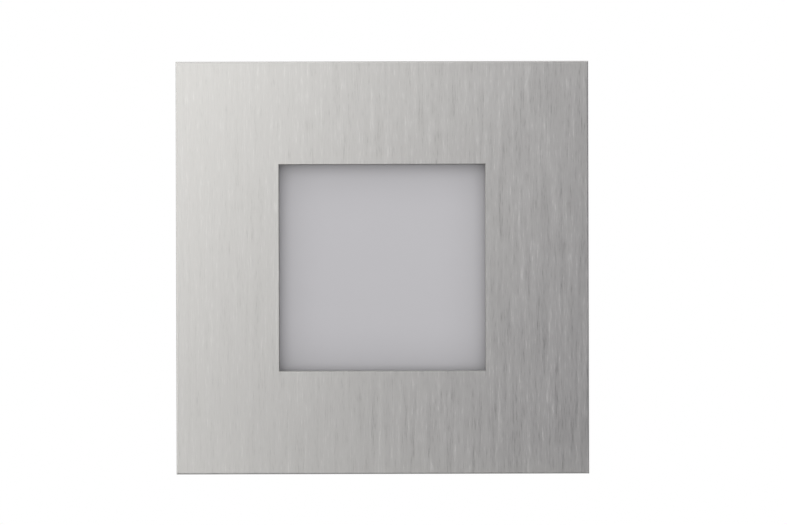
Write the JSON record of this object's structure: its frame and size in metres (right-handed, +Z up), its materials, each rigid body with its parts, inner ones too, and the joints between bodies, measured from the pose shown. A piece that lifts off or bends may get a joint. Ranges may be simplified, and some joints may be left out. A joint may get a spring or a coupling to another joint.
{
  "type": "recessed step light",
  "caption": "Square brushed steel step light with a recessed frosted window, a finned housing, a cable gland and sprung clips.",
  "frame": {"origin": "middle of the wall surface, where the back face of the wall gasket presses", "axes": "+Z up, +X to the right seen from the front, the window faces -Y and +Y points into the wall"},
  "size_m": [0.1, 0.0729, 0.1],
  "materials": {
    "brushed_stainless": "vertical brushed grain",
    "frosted_glass": "frosted",
    "bright_stainless": "plain",
    "spring_stainless": "drawn wire and rolled strip",
    "cast_aluminium": "fine blasted casting",
    "black_foam": "closed-cell foam",
    "grey_silicone": "matt",
    "black_rubber": "matt",
    "red_insulation": "satin",
    "black_insulation": "satin",
    "green_insulation": "satin, yellow stripe",
    "white_plastic": "satin white",
    "black_nylon": "satin",
    "white_board": "aluminium core with white mask",
    "led_phosphor": "yellow phosphor in a white package",
    "thermal_silicone": "matt",
    "clear_film": "satin film",
    "green_board": "glass epoxy with green mask",
    "ferrite": "matt ferrite",
    "yellow_tape": "taped winding",
    "can_sleeve": "sleeved can",
    "film_case": "moulded case",
    "black_package": "moulded epoxy",
    "choke_winding": "shrink sleeve",
    "resistor_body": "enamel",
    "varistor_body": "blue enamel",
    "terminal_body": "moulded",
    "tinned_brass": "tinned"
  },
  "bodies": {
    "light": {"fascia": "brushed_stainless", "fascia_studs": "bright_stainless", "fascia_washers": "bright_stainless", "fascia_nuts": "bright_stainless", "wall_gasket": "black_foam", "window_glass": "frosted_glass", "window_seal": "grey_silicone", "housing": "cast_aluminium", "cover_screws": "bright_stainless", "led_board_screws": "bright_stainless", "driver_screws": "bright_stainless", "earth_screw": "tinned_brass", "led_board": "white_board", "led_chips": "led_phosphor", "thermal_pad": "thermal_silicone", "reflector": "white_plastic", "lead_grommet": "black_rubber", "led_lead_positive": "red_insulation", "led_lead_negative": "black_insulation", "insulating_sheet": "clear_film", "driver_board": "green_board", "transformer_base": "black_nylon", "transformer_core": "ferrite", "transformer_winding": "yellow_tape", "input_capacitor": "can_sleeve", "output_capacitor": "can_sleeve", "film_capacitor": "film_case", "bridge_rectifier": "black_package", "controller_chip": "black_package", "choke": "choke_winding", "fuse_resistor": "resistor_body", "varistor": "varistor_body", "terminal_block": "terminal_body", "terminal_screws": "tinned_brass", "earth_tag": "tinned_brass", "earth_lead": "green_insulation", "cover_seal": "black_rubber", "rear_cover": "cast_aluminium", "gland_washer": "black_rubber", "gland_body": "black_nylon", "gland_seal": "black_rubber", "gland_nut": "black_nylon", "gland_lock_nut": "black_nylon", "right_clip_pin": "bright_stainless", "right_pin_ring": "spring_stainless", "right_clip_spring": "spring_stainless", "left_clip_pin": "bright_stainless", "left_pin_ring": "spring_stainless", "left_clip_spring": "spring_stainless"},
    "right_clip": {"right_clip_arm": "spring_stainless"},
    "left_clip": {"left_clip_arm": "spring_stainless"}
  },
  "joints": [
    {"name": "right_clip_swing", "type": "hinge", "parent": "light", "child": "right_clip", "pos_m": [0.03335, 0.016, 0], "axis": [0, 0, 1], "range_deg": [0, 110], "stiffness_Nm_per_rad": 0.11, "springref_deg": -5.16, "deforming": ["right_clip_spring"]},
    {"name": "left_clip_swing", "type": "hinge", "parent": "light", "child": "left_clip", "pos_m": [-0.03335, 0.016, 0], "axis": [0, 0, -1], "range_deg": [0, 110], "stiffness_Nm_per_rad": 0.11, "springref_deg": -5.16, "deforming": ["left_clip_spring"]}
  ]
}
